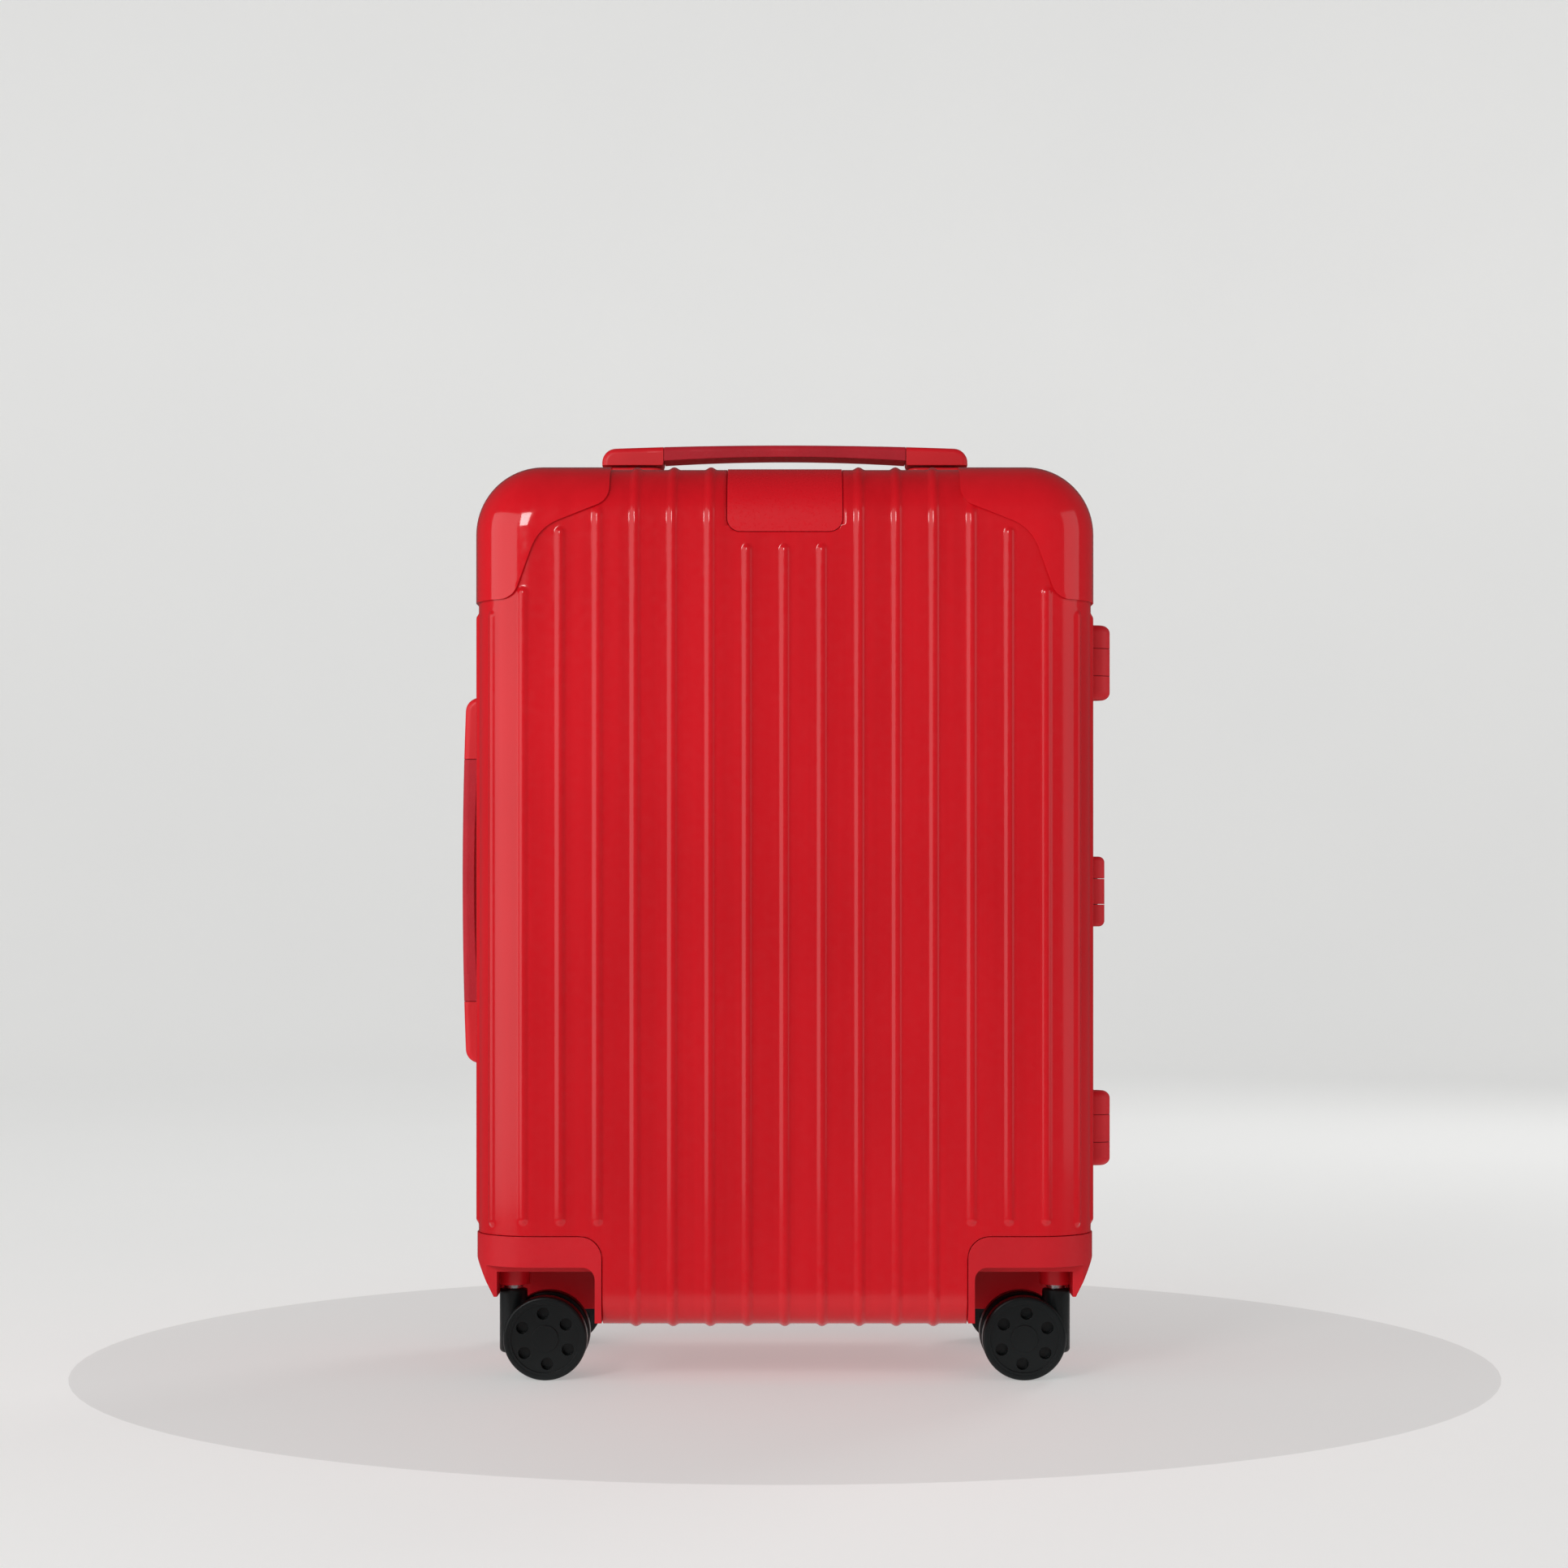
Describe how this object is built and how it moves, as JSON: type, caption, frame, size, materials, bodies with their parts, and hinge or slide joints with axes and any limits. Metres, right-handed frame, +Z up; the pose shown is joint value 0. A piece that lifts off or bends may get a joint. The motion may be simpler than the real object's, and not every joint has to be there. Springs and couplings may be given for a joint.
{
  "type": "hard shell suitcase",
  "caption": "Red ribbed hard shell cabin suitcase with spinner casters, a telescopic trolley handle, carry handles, side hinges and combination latches.",
  "frame": {"origin": "middle of the footprint on the floor", "axes": "+Z up, front face towards -Y, hinge side towards +X"},
  "size_m": [0.39, 0.2298, 0.55],
  "materials": {
    "shell_red": "gloss",
    "cap_red": "gloss",
    "housing_red": "satin",
    "handle_red": "satin",
    "grip_soft": "matte",
    "frame_red": "satin",
    "seal_rubber": "matte",
    "steel": "satin",
    "tube_aluminium": "satin anodised",
    "wheel_black": "satin",
    "fork_black": "satin",
    "latch_red": "satin",
    "dial_dark": "satin",
    "lining_fabric": "woven",
    "strap_webbing": "woven"
  },
  "bodies": {
    "rear_half": {"rear_shell": "shell_red", "rear_frame": "frame_red", "rear_seal": "seal_rubber", "rear_corner_caps": "cap_red", "rear_left_wheel_housing": "housing_red", "rear_right_wheel_housing": "housing_red", "rear_lining": "lining_fabric", "rear_straps": "strap_webbing", "trolley_bezel": "handle_red", "trolley_outer_tubes": "tube_aluminium", "handle_bases": "handle_red", "latch_strikers": "latch_red", "hinge_rear_leaves": "latch_red", "hinge_pins": "steel", "rear_kingpins": "steel", "rear_swivel_bearings": "steel"},
    "front_half": {"front_shell": "shell_red", "front_frame": "frame_red", "front_corner_caps": "cap_red", "front_left_wheel_housing": "housing_red", "front_right_wheel_housing": "housing_red", "badge_plate": "cap_red", "front_lining": "lining_fabric", "front_straps": "strap_webbing", "hinge_front_leaves": "latch_red", "latch_bases": "latch_red", "front_kingpins": "steel", "front_swivel_bearings": "steel"},
    "trolley_middle": {"trolley_middle_tubes": "tube_aluminium"},
    "trolley_inner": {"trolley_inner_tubes": "tube_aluminium", "trolley_grip": "handle_red"},
    "trolley_push_button": {"trolley_button": "handle_red"},
    "top_handle": {"top_handle_bar": "handle_red", "top_handle_grip": "grip_soft"},
    "side_handle": {"side_handle_bar": "handle_red", "side_handle_grip": "grip_soft"},
    "upper_latch": {"upper_latch_lever": "latch_red"},
    "lower_latch": {"lower_latch_lever": "latch_red"},
    "upper_dial_1": {"upper_latch_dial_1": "dial_dark"},
    "upper_dial_2": {"upper_latch_dial_2": "dial_dark"},
    "upper_dial_3": {"upper_latch_dial_3": "dial_dark"},
    "lower_dial_1": {"lower_latch_dial_1": "dial_dark"},
    "lower_dial_2": {"lower_latch_dial_2": "dial_dark"},
    "lower_dial_3": {"lower_latch_dial_3": "dial_dark"},
    "front_left_caster": {"front_left_fork": "fork_black", "front_left_axle": "steel"},
    "front_left_outer_roller": {"front_left_outer_wheel": "wheel_black"},
    "front_left_inner_roller": {"front_left_inner_wheel": "wheel_black"},
    "front_right_caster": {"front_right_fork": "fork_black", "front_right_axle": "steel"},
    "front_right_outer_roller": {"front_right_outer_wheel": "wheel_black"},
    "front_right_inner_roller": {"front_right_inner_wheel": "wheel_black"},
    "rear_left_caster": {"rear_left_fork": "fork_black", "rear_left_axle": "steel"},
    "rear_left_outer_roller": {"rear_left_outer_wheel": "wheel_black"},
    "rear_left_inner_roller": {"rear_left_inner_wheel": "wheel_black"},
    "rear_right_caster": {"rear_right_fork": "fork_black", "rear_right_axle": "steel"},
    "rear_right_outer_roller": {"rear_right_outer_wheel": "wheel_black"},
    "rear_right_inner_roller": {"rear_right_inner_wheel": "wheel_black"}
  },
  "joints": [
    {"name": "case_hinge", "type": "hinge", "parent": "rear_half", "child": "front_half", "pos_m": [0.186, 0, 0.28], "axis": [0, 0, -1], "range_deg": [-180, 0]},
    {"name": "trolley_middle_slide", "type": "slide", "parent": "rear_half", "child": "trolley_middle", "axis": [0, 0, 1], "range_m": [0, 0.235]},
    {"name": "trolley_inner_slide", "type": "slide", "parent": "trolley_middle", "child": "trolley_inner", "axis": [0, 0, 1], "range_m": [0, 0.235]},
    {"name": "trolley_button_press", "type": "slide", "parent": "trolley_inner", "child": "trolley_push_button", "axis": [0, 0, -1], "range_m": [0, 0.003], "stiffness_N_per_m": 500, "springref_m": -0.002},
    {"name": "top_handle_pull", "type": "slide", "parent": "rear_half", "child": "top_handle", "axis": [0, 0, 1], "range_m": [0, 0.014], "stiffness_N_per_m": 150, "springref_m": -0.005},
    {"name": "side_handle_pull", "type": "slide", "parent": "rear_half", "child": "side_handle", "axis": [-1, 0, 0], "range_m": [0, 0.014], "stiffness_N_per_m": 150, "springref_m": -0.005},
    {"name": "lower_latch_swing", "type": "hinge", "parent": "front_half", "child": "lower_latch", "pos_m": [-0.1788, -0.019, 0.138], "axis": [0, 0, 1], "range_deg": [0, 90]},
    {"name": "lower_dial_1_turn", "type": "hinge", "parent": "front_half", "child": "lower_dial_1", "pos_m": [-0.1744, -0.029, 0.129], "axis": [0, 0, 1], "continuous": true},
    {"name": "lower_dial_2_turn", "type": "hinge", "parent": "front_half", "child": "lower_dial_2", "pos_m": [-0.1744, -0.029, 0.138], "axis": [0, 0, 1], "continuous": true},
    {"name": "lower_dial_3_turn", "type": "hinge", "parent": "front_half", "child": "lower_dial_3", "pos_m": [-0.1744, -0.029, 0.147], "axis": [0, 0, 1], "continuous": true},
    {"name": "upper_latch_swing", "type": "hinge", "parent": "front_half", "child": "upper_latch", "pos_m": [-0.1788, -0.019, 0.419], "axis": [0, 0, 1], "range_deg": [0, 90]},
    {"name": "upper_dial_1_turn", "type": "hinge", "parent": "front_half", "child": "upper_dial_1", "pos_m": [-0.1744, -0.029, 0.41], "axis": [0, 0, 1], "continuous": true},
    {"name": "upper_dial_2_turn", "type": "hinge", "parent": "front_half", "child": "upper_dial_2", "pos_m": [-0.1744, -0.029, 0.419], "axis": [0, 0, 1], "continuous": true},
    {"name": "upper_dial_3_turn", "type": "hinge", "parent": "front_half", "child": "upper_dial_3", "pos_m": [-0.1744, -0.029, 0.428], "axis": [0, 0, 1], "continuous": true},
    {"name": "front_left_swivel", "type": "hinge", "parent": "front_half", "child": "front_left_caster", "pos_m": [-0.1565, -0.075, 0.05], "axis": [0, 0, 1], "continuous": true},
    {"name": "front_left_outer_roll", "type": "hinge", "parent": "front_left_caster", "child": "front_left_outer_roller", "pos_m": [-0.137, -0.075, 0.024], "axis": [0, 1, 0], "continuous": true},
    {"name": "front_left_inner_roll", "type": "hinge", "parent": "front_left_caster", "child": "front_left_inner_roller", "pos_m": [-0.137, -0.075, 0.024], "axis": [0, 1, 0], "continuous": true},
    {"name": "front_right_swivel", "type": "hinge", "parent": "front_half", "child": "front_right_caster", "pos_m": [0.1565, -0.075, 0.05], "axis": [0, 0, 1], "continuous": true},
    {"name": "front_right_outer_roll", "type": "hinge", "parent": "front_right_caster", "child": "front_right_outer_roller", "pos_m": [0.137, -0.075, 0.024], "axis": [0, 1, 0], "continuous": true},
    {"name": "front_right_inner_roll", "type": "hinge", "parent": "front_right_caster", "child": "front_right_inner_roller", "pos_m": [0.137, -0.075, 0.024], "axis": [0, 1, 0], "continuous": true},
    {"name": "rear_left_swivel", "type": "hinge", "parent": "rear_half", "child": "rear_left_caster", "pos_m": [-0.1565, 0.075, 0.05], "axis": [0, 0, 1], "continuous": true},
    {"name": "rear_left_outer_roll", "type": "hinge", "parent": "rear_left_caster", "child": "rear_left_outer_roller", "pos_m": [-0.137, 0.075, 0.024], "axis": [0, 1, 0], "continuous": true},
    {"name": "rear_left_inner_roll", "type": "hinge", "parent": "rear_left_caster", "child": "rear_left_inner_roller", "pos_m": [-0.137, 0.075, 0.024], "axis": [0, 1, 0], "continuous": true},
    {"name": "rear_right_swivel", "type": "hinge", "parent": "rear_half", "child": "rear_right_caster", "pos_m": [0.1565, 0.075, 0.05], "axis": [0, 0, 1], "continuous": true},
    {"name": "rear_right_outer_roll", "type": "hinge", "parent": "rear_right_caster", "child": "rear_right_outer_roller", "pos_m": [0.137, 0.075, 0.024], "axis": [0, 1, 0], "continuous": true},
    {"name": "rear_right_inner_roll", "type": "hinge", "parent": "rear_right_caster", "child": "rear_right_inner_roller", "pos_m": [0.137, 0.075, 0.024], "axis": [0, 1, 0], "continuous": true}
  ],
  "couplings": [
    {"joint": "trolley_inner_slide", "follows": "trolley_middle_slide", "ratio": 1}
  ]
}
